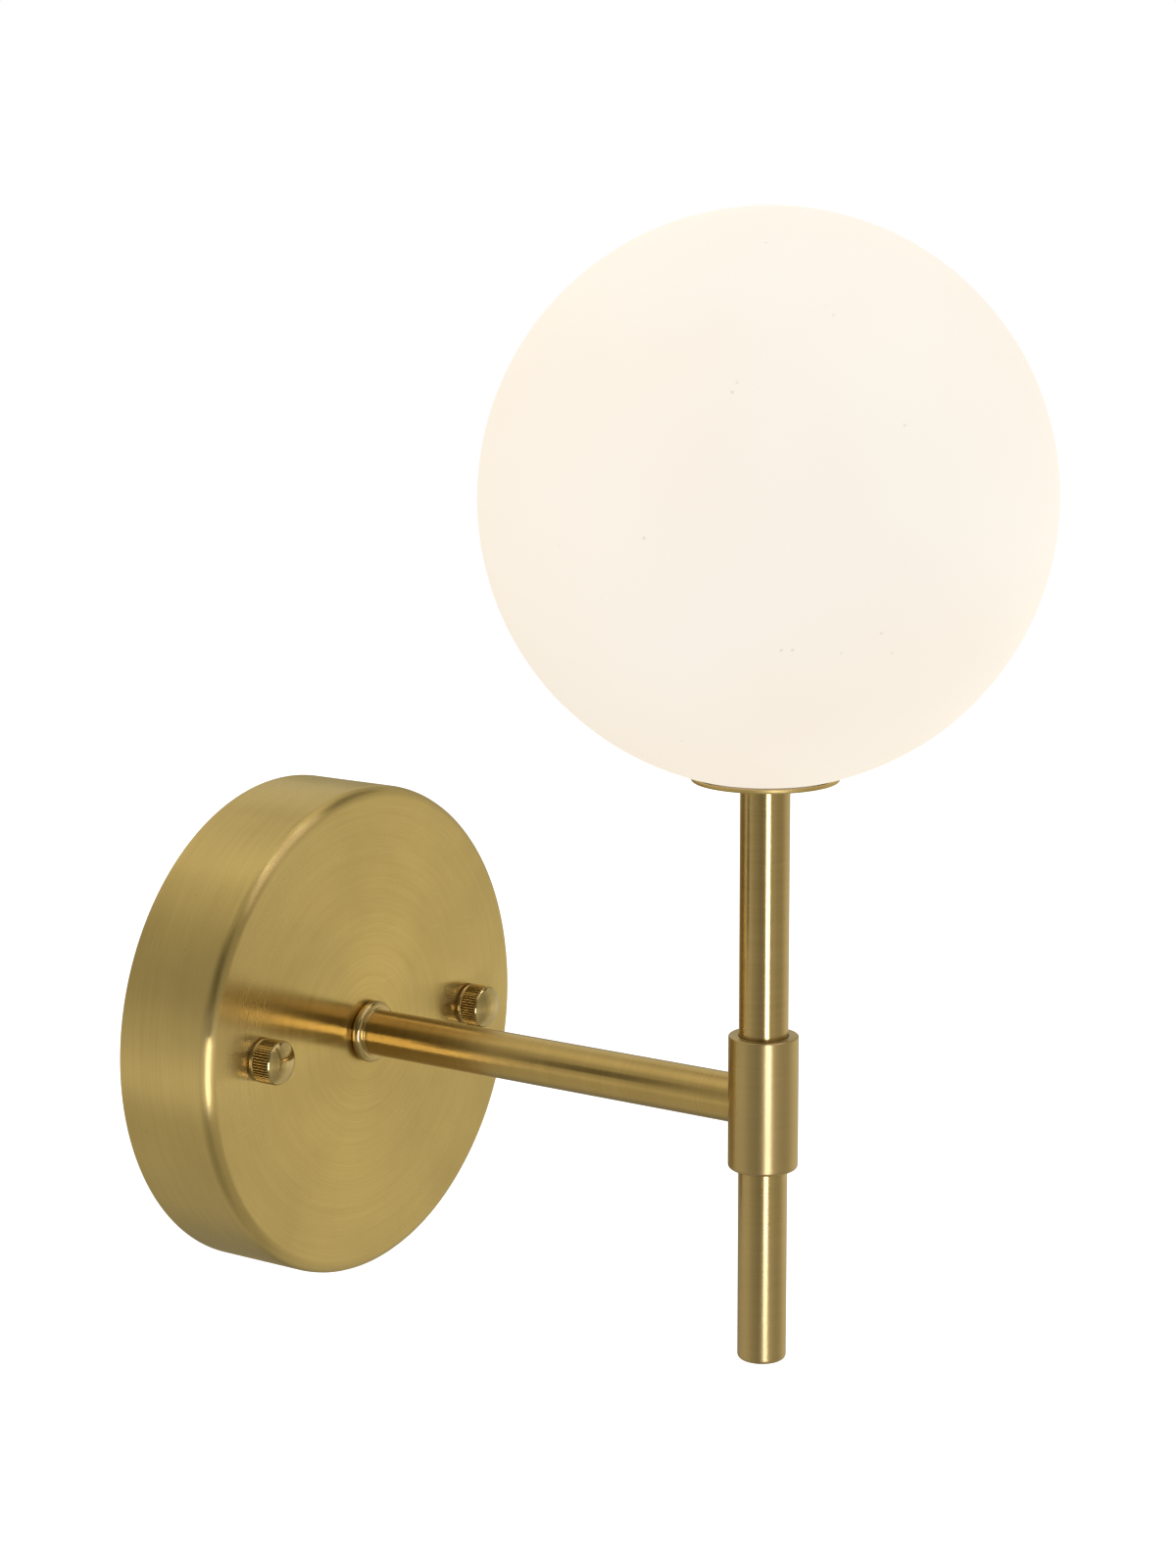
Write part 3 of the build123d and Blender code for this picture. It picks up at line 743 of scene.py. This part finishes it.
def makeRing():
    s, inner, face = ringShape, tubeShape["outer"], canopyShape["depth"]
    lip, top = inner + s["lip"], face + s["depth"]
    bm = startMesh()
    turned(bm, armLine, [
        (inner, face, 0), (s["outer"], face, s["round"]), (s["outer"], top, s["round"]),
        (lip, top, s["lipFootRound"]), (lip, top + s["lipRise"], s["lipRound"]),
        (inner, top + s["lipRise"], 0),
    ])
    finishPiece(bm, "bead_ring", ringBrass, "arm_base_ring")


makeArm()
makeRing()
print("arm made")


# collar with a fine groove round the stem
def makeCollar():
    s, inner = collarShape, tubeShape["outer"]
    low, high = heights("tee_collar")
    groove, floor = inner + s["groove"], high - s["grooveDepth"]
    bm = startMesh()
    turned(bm, stemLine, [
        (inner, low, s["footRound"]), (s["radius"], low, s["bottomRound"]),
        (s["radius"], high, s["topRound"]), (groove, high, s["grooveRound"]),
        (groove, floor, 0), (inner, floor, 0),
    ])
    finishPiece(bm, "turned_collar", stemBrass, "tee_collar")


def makeTube(node, name, rounding):
    s = tubeShape
    roundings = (rounding, 0, 0, s["mouthRound"])
    bm = startMesh()
    turned(bm, stemLine, tubeOutline(s["outer"], s["inner"], *heights(node), roundings))
    finishPiece(bm, name, stemBrass, node)


# end plug, set a little way into the tail
plugShape = dict(inset=0.05, round=0.25, steps=96)


def makePlug():
    s, radius = plugShape, tubeShape["inner"]
    low, high = heights("tail_plug")
    low += s["inset"]
    outline = [(0, low, 0), (radius, low, s["round"]), (radius, high, s["round"]), (0, high, 0)]
    bm = startMesh()
    turned(bm, stemLine, outline, s["steps"])
    finishPiece(bm, "end_plug", stemBrass, "tail_plug")


makeCollar()
makeTube("stem_tube", "upright_stem", 0)
makeTube("tail_tube", "lower_tail", tubeShape["tailRound"])
makePlug()
print("upright made")


# saucer under the globe
dishShape = dict(
    radius=19.3, hub=8.0, hole=4.95, sheet=0.6, rise=1.75, rim=1.1, lip=0.5,
    hubRound=2.0, edgeRound=0.5, rimRound=0.18, innerRound=0.2,
)


def makeDish():
    s = dishShape
    low = heights("glass_dish")[0]
    edge, top, inside = low + s["rise"], low + s["rise"] + s["rim"], s["radius"] - s["lip"]
    bm = startMesh()
    turned(bm, stemLine, [
        (s["hole"], low, 0), (s["hub"], low, s["hubRound"]),
        (s["radius"], edge, s["edgeRound"]), (s["radius"], top, s["rimRound"]),
        (inside, top, s["rimRound"]), (inside, edge + s["sheet"], s["innerRound"]),
        (s["hub"], low + s["sheet"], s["hubRound"]), (s["hole"], low + s["sheet"], 0),
    ])
    finishPiece(bm, "glass_saucer", dishBrass, "glass_dish")


# gasket between the saucer and the globe
gasketShape = dict(width=2.0, roundings=(0.15, 0.15, 0.15, 0.15), steps=128)


def makeGasket():
    s = gasketShape
    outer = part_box("glass_gasket")[1].x / mm
    outline = tubeOutline(outer, outer - s["width"], *heights("glass_gasket"), s["roundings"])
    bm = startMesh()
    turned(bm, stemLine, outline, s["steps"])
    finishPiece(bm, "soft_gasket", finishes["silicone"], "glass_gasket")


# carrier that the globe screws on to
carrierShape = dict(
    root=13.85, crest=14.35, inside=12.95, hub=7.8, hole=4.95, hubHeight=1.7, floor=1.2, pitch=4.0,
    plain=0.9, rootFrom=1.3, hubRound=0.1, edgeRound=0.3, topRound=0.2, floorRound=0.4,
    steps=128, threadSteps=96,
)


def makeCarrier():
    s = carrierShape
    low, high = heights("glass_carrier")
    shelf = low + s["hubHeight"]
    plain, floor = shelf + s["plain"], shelf + s["floor"]
    bm = startMesh()
    turned(bm, stemLine, [
        (s["hole"], low, 0), (s["hub"], low, s["hubRound"]), (s["hub"], shelf, 0),
        (s["crest"], shelf, s["edgeRound"]), (s["crest"], plain, 0), (s["root"], shelf + s["rootFrom"], 0),
        (s["root"], high, s["topRound"]), (s["inside"], high, s["topRound"]),
        (s["inside"], floor, s["floorRound"]), (s["hole"], floor, 0),
    ], s["steps"])
    threaded(bm, stemLine, plain, high, s)
    finishPiece(bm, "threaded_carrier", finishes["cast_aluminium"], "glass_carrier")


# globe: a blown shell whose neck turns inwards
globeShape = dict(
    radius=73.5, wall=3.0, bore=14.65, neck=17.4, neckHeight=9.4, foot=18.25, footRound=1.2,
    neckRound=0.6, boreRound=0.5, arcSteps=88, steps=176, merge=1e-6,
)


def makeGlobe():
    s = globeShape
    low, high = heights("glass_globe")
    heart, inside = high - s["radius"], s["radius"] - s["wall"]
    centre = onLine(stemLine, 0, heart)
    bm = startMesh()

    def point(radius, height):
        return bm.verts.new(onLine(stemLine, radius, height))

    # a vertex swung about the globe's middle, from near the foot to the crown
    def swing(start, radius, fromRadius):
        sweep = pi - asin(fromRadius / radius)
        done = bmesh.ops.spin(
            bm, geom=[start], cent=centre, axis=(0, -1, 0), angle=sweep, steps=s["arcSteps"],
        )
        return [item for item in done["geom_last"] if isinstance(item, bmesh.types.BMVert)][0]

    mouth = [point(s["bore"], low), point(s["foot"], low)]
    bm.edges.new(mouth)
    crown = swing(mouth[1], s["radius"], s["foot"])
    innerStart = point(s["neck"], heart - sqrt(inside ** 2 - s["neck"] ** 2))
    innerCrown = swing(innerStart, inside, s["neck"])
    neck = [point(radius, low + s["neckHeight"]) for radius in (s["neck"], s["bore"])]
    for pair in ((innerStart, neck[0]), (neck[0], neck[1]), (neck[1], mouth[0])):
        bm.edges.new(pair)
    for vert in (crown, innerCrown):
        vert.co.x = 0
    roundings = (s["footRound"], s["neckRound"], s["neckRound"], s["boreRound"])
    for vert, rounding in zip((mouth[1], neck[0], neck[1], mouth[0]), roundings):
        roundCorner(bm, vert, rounding)
    spinWire(bm, stemLine, list(bm.verts), s["steps"])
    seal(bm, s["merge"])
    finishPiece(bm, "opal_globe", opalGlass, "glass_globe", sharp=60)


makeDish()
makeGasket()
makeCarrier()
makeGlobe()
print("glass and its seat made")


# studs with real threads
studShape = dict(
    root=1.62, crest=1.95, pitch=0.7, bare=0.2, backRound=0.25, tipRound=0.35, steps=32, threadSteps=18,
)


def makeStuds():
    s = studShape
    far = reaches("strap_studs")[1]
    outline = [(0, 0, 0), (s["root"], 0, s["backRound"]), (s["root"], far, s["tipRound"]), (0, far, 0)]
    bm = startMesh()
    for node in nutNodes:
        turned(bm, nutLine(node), outline, s["steps"])
        threaded(bm, nutLine(node), s["bare"], far - s["bare"], s)
    finishPiece(bm, "threaded_studs", finishes["zinc_steel"], "strap_studs")


# nipples: the arm's thread is measured from its back end, the stem's from its top
nippleShape = dict(
    bore=3.6, root=4.6, crest=4.95, pitch=1.0, steps=64, threadSteps=36,
    armThread=(0.2, 9.0), armRoundings=(0.2, 0, 0, 0.2),
    stemThread=(-7.0, -0.1), stemRoundings=(0, 0.2, 0.2, 0.2),
)


def makeNipples():
    s = nippleShape
    near, far = reaches("arm_nipple")
    bm = startMesh()
    turned(bm, armLine, tubeOutline(s["root"], s["bore"], near, far, s["armRoundings"]), s["steps"])
    threaded(bm, armLine, *(near + place for place in s["armThread"]), s)
    finishPiece(bm, "arm_threaded_nipple", finishes["turned_brass"], "arm_nipple")
    low, high = heights("stem_nipple")
    bm = startMesh()
    turned(bm, stemLine, tubeOutline(s["root"], s["bore"], low, high, s["stemRoundings"]), s["steps"])
    threaded(bm, stemLine, *(high + place for place in s["stemThread"]), s)
    finishPiece(bm, "stem_threaded_nipple", finishes["turned_brass"], "stem_nipple")


makeStuds()
makeNipples()
print("threads made")


# pressed, cut and moulded pieces: the solid's own shape with its edges eased by this many mm
easedPieces = dict(
    wall_strap=0.3, terminal_block=0.35, terminal_screws=0.15, terminal_block_screw=0.2, earth_screw=0.4,
    earth_lug=0.12, earth_tag=0.12, arm_tooth_washer=0.1, arm_locknut=0.3, stem_locknut=0.3,
    holder_bracket=0.15, holder_screws=0.15, lampholder=0.4, bulb_base=0.5, bulb_pins=0.1,
)
easing = dict(merge=1e-6, flatAngle=1.0, hardAngle=40.0, steps=2, sharp=38)


def makeEased(node, width):
    s = easing
    bm = startMesh()
    bm.from_mesh(frame["nodes"][node].data)
    edge = bm.verts.layers.float.get("edge") or bm.verts.layers.float.new("edge")
    bmesh.ops.remove_doubles(bm, verts=bm.verts, dist=s["merge"])
    bmesh.ops.dissolve_limit(bm, angle_limit=radians(s["flatAngle"]), verts=bm.verts, edges=bm.edges)
    least = radians(s["hardAngle"])
    hard = [strand for strand in bm.edges if strand.is_manifold and strand.calc_face_angle() > least]
    done = bmesh.ops.bevel(
        bm, geom=hard, affect="EDGES", offset=width * mm, offset_type="OFFSET", segments=s["steps"],
        profile=0.5, material=-1, clamp_overlap=True,
    )
    for vert in done["verts"]:
        vert[edge] = 1.0
    bmesh.ops.dissolve_degenerate(bm, dist=s["merge"], edges=bm.edges)
    bmesh.ops.triangulate(bm, faces=[face for face in bm.faces if len(face.verts) > 4])
    finishPiece(bm, "eased_" + node, finishes[slotOf[node]], node, sharp=s["sharp"])


for node, width in easedPieces.items():
    makeEased(node, width)
print("rear and inner pieces made")


# leads and earth wire: soft sleeves that follow the same routes as the solids
sleeveShape = dict(
    thick=1.6, gap=2.6, splay=7.0, drop=2.2, gather=6.5, corner=6.0, loop=17.9, sag=12.5, stagger=2.5,
    dip=6.0, poleOut=7.5, pole=17.0, poleGap=8.0, poleEnd=4.5, strapTurn=3.1, smooth=12, sides=5, sharp=50,
)
earthShape = dict(tag=(-12.5, -28.7, 0.0), middle=-15.35, lug=(-23.6, 2.8, 0.0))


# a point given along the turned strap, out from the wall and across the strap
def strapPoint(along, out, across):
    return Matrix.Rotation(radians(sleeveShape["strapTurn"]), 3, "Y") @ Vector((along, -out, across))


# from the lampholder down the stem, through the arm and in a slack loop to the terminal block
def leadRoute(side):
    s = sleeveShape
    reach, top = stemLine["centre"].y / mm, heights("lampholder")[0]
    out, wide, sag = side * s["gap"] / 2, side * s["splay"] / 2, s["sag"] - side * s["stagger"]
    pole = s["pole"] + side * s["poleGap"] / 2
    return [
        (wide, reach, top), (wide, reach, top - s["drop"]), (out, reach, top - s["gather"]),
        (out, reach, s["corner"]), (out, reach, 0), (out, reach + s["corner"], 0),
        (out, -s["loop"] - s["corner"], 0), (out, -s["loop"], 0), (out, -s["loop"], -sag),
        strapPoint(pole, s["poleOut"], -sag - s["dip"]), strapPoint(pole, s["poleOut"], -s["poleEnd"]),
    ]


def earthRoute():
    s = earthShape
    tag, lug = s["tag"], strapPoint(*s["lug"])
    return [tag, (tag[0], s["middle"], tag[2]), (lug.x, s["middle"], lug.z), lug]


def makeSleeve(node, name, route):
    s = sleeveShape
    line = bpy.data.curves.new(name, "CURVE")
    line.dimensions = "3D"
    line.bevel_depth = s["thick"] / 2 * mm
    line.bevel_resolution = s["sides"]
    line.use_fill_caps = True
    strand = line.splines.new("NURBS")
    strand.points.add(len(route) - 1)
    for point, spot in zip(strand.points, route):
        point.co = (*(Vector(spot) * mm), 1)
    strand.order_u = 3
    strand.use_endpoint_u = True
    strand.resolution_u = s["smooth"]
    drawn = bpy.data.objects.new(name + "Line", line)
    scene.collection.objects.link(drawn)
    depsgraph = bpy.context.evaluated_depsgraph_get()
    skin = bpy.data.meshes.new_from_object(drawn.evaluated_get(depsgraph), depsgraph=depsgraph)
    bm = startMesh()
    bm.from_mesh(skin)
    bpy.data.objects.remove(drawn)
    bpy.data.curves.remove(line)
    bpy.data.meshes.remove(skin)
    seal(bm)
    finishPiece(bm, name, finishes[slotOf[node]], node, sharp=s["sharp"])


makeSleeve("live_lead", "live_sleeve", leadRoute(-1))
makeSleeve("neutral_lead", "neutral_sleeve", leadRoute(1))
makeSleeve("earth_wire", "earth_sleeve", earthRoute())
print("leads made")

# solids whose own shape stays: only the finish changes
for node in ("lampholder_contacts", "bulb_envelope"):
    for slot in frame["nodes"][node].material_slots:
        slot.material = finishes[slotOf[node]]
print("kept solids finished")


# studio: white all round, a tall strip light beside the camera, soft lamps and a tent for reflections
studio = dict(ambient=0.5, heart=(0.0, -0.11, 0.02))
mirrorLamps = dict(
    stripLight=dict(azimuth=(-49.0, -34.0), elevation=(-24.0, 4.0), distance=1.45, radiance=8.0),
    highLight=dict(azimuth=(-15.0, 40.0), elevation=(52.0, 66.0), distance=0.95, radiance=3.6),
)
softLamps = dict(
    topLamp=dict(azimuth=(-140.0, -100.0), elevation=(48.0, 62.0), distance=0.9, radiance=5.0),
    rightLamp=dict(azimuth=(20.0, 60.0), elevation=(5.0, 40.0), distance=1.6, radiance=1.2),
)
# a round tent seen in reflections only: its tone by azimuth, and how that changes with elevation
tent = dict(
    radius=2.0, low=-1.5, high=2.3, warm=(1.0, 0.93, 0.64, 1), steps=96,
    tones=(
        (-180, 0.5), (-156, 0.6), (-132, 0.6), (-100, 0.4), (-76, 0.3), (-56, 0.28), (-30, 0.42),
        (-18, 0.55), (5, 0.44), (24, 0.42), (44, 0.56), (54, 0.7), (80, 0.68), (110, 0.46), (136, 0.28),
        (160, 0.38), (180, 0.5),
    ),
    lift=(
        (-90, 0.9), (-50, 0.9), (-31, 0.97), (-16, 1.27), (0, 0.97), (16, 0.84), (31, 0.85), (43, 1.0),
        (50, 1.4), (90, 1.6),
    ),
)
# cards in front of the tent: dark ones above the strip light and the canopy, paler ones behind it
cards = dict(
    overCard=dict(azimuth=(-75.0, -29.0), elevation=(4.0, 42.0), distance=1.8, tone=0.15),
    topCard=dict(azimuth=(46.0, 84.0), elevation=(30.0, 54.0), distance=1.3, tone=0.15),
    backCard=dict(azimuth=(152.0, 190.0), elevation=(36.0, 52.0), distance=1.15, tone=1.05),
    cornerCard=dict(azimuth=(116.0, 152.0), elevation=(14.0, 52.0), distance=1.2, tone=0.76),
)
# a small dark flag near the arm
armFlag = dict(x=-0.09, y=(-0.078, -0.034), z=(0.012, 0.06), tone=0.12)
# a floor that the camera sees as nearly white
floorLook = dict(
    height=-1.55, size=16.0, rough=0.9, grain=3.0, first=(0.8, 0.8, 0.79, 1), second=(0.84, 0.84, 0.83, 1),
    glow=0.2, seenGlow=0.7,
)


def seenRays(tree, *kinds):
    path = tree.nodes.new("ShaderNodeLightPath")
    seen = path.outputs[kinds[0]]
    for kind in kinds[1:]:
        seen = maths(tree, "MAXIMUM", seen, path.outputs[kind])
    return seen


# a place, turned so that its back, the local Z axis, points out
def backedTo(spot, out):
    return Matrix.Translation(spot) @ out.to_track_quat("Z", "Y").to_matrix().to_4x4()


# an upright panel that faces the lamp: its place and turn, width and height
def panel(card):
    first, last = card["azimuth"]
    low, high = (tan(radians(angle)) * card["distance"] for angle in card["elevation"])
    out = lookBack((first + last) / 2, 0)
    spot = Vector(studio["heart"]) + out * card["distance"] + Vector((0, 0, (low + high) / 2))
    width = 2 * card["distance"] * tan(radians(last - first) / 2)
    return backedTo(spot, out), width, high - low


def addLamp(name, lamp, hidden):
    data = bpy.data.lights.new(name, "AREA")
    light = bpy.data.objects.new(name, data)
    scene.collection.objects.link(light)
    light.matrix_world, data.size, data.size_y = panel(lamp)
    data.shape = "RECTANGLE"
    data.energy = lamp["radiance"] * pi * data.size * data.size_y
    light.visible_camera = False
    setattr(light, hidden, False)


def addStage(bm, name, material):
    piece = placeMesh(bm, name)
    piece.data.materials.append(material)
    return piece


# a glow that only mirror reflections see
def addReflected(bm, name, strength):
    material = bpy.data.materials.new(name)
    material.use_nodes = True
    tree = material.node_tree
    glow = addNode(tree, "ShaderNodeEmission", {"Color": tent["warm"], "Strength": strength(tree)})
    tree.links.new(glow.outputs[0], tree.nodes["Material Output"].inputs["Surface"])
    card = addStage(bm, name, material)
    for ray in ("camera", "diffuse", "transmission", "volume_scatter", "shadow"):
        setattr(card, "visible_" + ray, False)


def addCard(name, tone, place, width, height):
    bm = bmesh.new()
    bmesh.ops.create_grid(bm, x_segments=1, y_segments=1, size=0.5)
    bmesh.ops.scale(bm, verts=bm.verts, vec=(width, height, 1))
    bmesh.ops.transform(bm, verts=bm.verts, matrix=place)
    addReflected(bm, name, lambda tree: tone)


# tones by angle: the ramp holds half of each, and all places are set before the tones
def ramp(tree, angle, stops, full):
    turn = spread(tree, angle, radians(-full), radians(full))
    made = addNode(tree, "ShaderNodeValToRGB", {"Fac": turn})
    made.color_ramp.interpolation = "EASE"
    places = made.color_ramp.elements
    for _ in stops[2:]:
        places.new(0.5)
    for place, (degree, _) in zip(places, stops):
        place.position = (degree + full) / (2 * full)
    for place, (_, tone) in zip(places, stops):
        place.color = (tone / 2, tone / 2, tone / 2, 1)
    return maths(tree, "MULTIPLY", made.outputs["Color"], 2.0)


def tentTone(tree):
    inputs = {0: objectPlace(tree), 1: Vector(studio["heart"])}
    away = addNode(tree, "ShaderNodeVectorMath", inputs, operation="SUBTRACT").outputs[0]
    x, y, z = addNode(tree, "ShaderNodeSeparateXYZ", {0: away}).outputs
    azimuth = maths(tree, "ARCTAN2", x, maths(tree, "MULTIPLY", y, -1.0))
    squares = [maths(tree, "MULTIPLY", place, place) for place in (x, y)]
    elevation = maths(tree, "ARCTAN2", z, maths(tree, "SQRT", maths(tree, "ADD", *squares)))
    tone, lift = ramp(tree, azimuth, tent["tones"], 180), ramp(tree, elevation, tent["lift"], 90)
    return maths(tree, "MULTIPLY", tone, lift)


def addTent():
    x, y, _ = studio["heart"]
    low, high = tent["low"], tent["high"]
    bm = bmesh.new()
    bmesh.ops.create_cone(
        bm, cap_ends=True, segments=tent["steps"], radius1=tent["radius"], radius2=tent["radius"],
        depth=high - low, matrix=Matrix.Translation((x, y, (low + high) / 2)),
    )
    addReflected(bm, "tent", tentTone)


def addFlag():
    (near, far), (low, high) = armFlag["y"], armFlag["z"]
    spot = Vector((armFlag["x"], (near + far) / 2, (low + high) / 2))
    addCard("armFlag", armFlag["tone"], backedTo(spot, Vector((-1, 0, 0))), far - near, high - low)


def makeFloor():
    s = floorLook
    material, tree, shader = newMaterial("paleFloor", Roughness=s["rough"], Emission_Color=(1, 1, 1, 1))
    colour = blend(tree, noise(tree, objectPlace(tree), s["grain"]), s["first"], s["second"])
    glow = maths(tree, "MULTIPLY_ADD", seenRays(tree, "Is Camera Ray"), s["seenGlow"], s["glow"])
    feed(tree, shader, Base_Color=colour, Emission_Strength=glow)
    bm = bmesh.new()
    bmesh.ops.create_grid(bm, x_segments=1, y_segments=1, size=s["size"] / 2)
    bmesh.ops.translate(bm, verts=bm.verts, vec=(0, 0, s["height"]))
    addStage(bm, "floor", material)


def makeStudio():
    world = bpy.data.worlds.new("studio")
    scene.world = world
    world.use_nodes = True
    tree = world.node_tree
    sky = tree.nodes["Background"]
    sky.inputs["Color"].default_value = (1, 1, 1, 1)
    white = seenRays(tree, "Is Camera Ray", "Is Glossy Ray", "Is Transmission Ray")
    feed(tree, sky, Strength=spread(tree, white, 0.0, 1.0, studio["ambient"], 1.0))
    for name, lamp in mirrorLamps.items():
        addLamp(name, lamp, "visible_diffuse")
    for name, lamp in softLamps.items():
        addLamp(name, lamp, "visible_glossy")
    addTent()
    for name, card in cards.items():
        addCard(name, card["tone"], *panel(card))
    addFlag()
    makeFloor()


makeStudio()
print("studio set")
